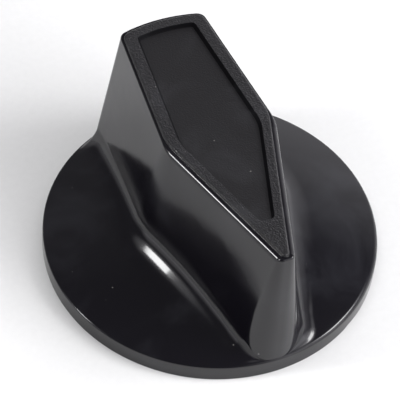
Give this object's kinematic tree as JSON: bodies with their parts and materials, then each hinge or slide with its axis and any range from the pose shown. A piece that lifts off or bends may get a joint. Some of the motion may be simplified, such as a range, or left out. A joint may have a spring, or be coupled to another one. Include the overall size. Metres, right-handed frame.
{
  "type": "appliance control knob",
  "caption": "Pointer-shaped kitchen appliance knob with a domed round skirt and a spring clip for a shaft with one flat.",
  "frame": {"origin": "on the shaft's axis, in the plane that the skirt's rim stands on", "axes": "+Z along the shaft's axis from the skirt up to the pad, -Y towards the pointer's tip, +X to the right when the tip points down"},
  "size_m": [0.057, 0.057, 0.029],
  "materials": {
    "black_plastic": "high gloss with a spark-eroded pad",
    "spring_steel": "plain rolled strip"
  },
  "bodies": {
    "root": {"knob_body": "black_plastic", "shaft_spring": "spring_steel"}
  },
  "joints": []
}
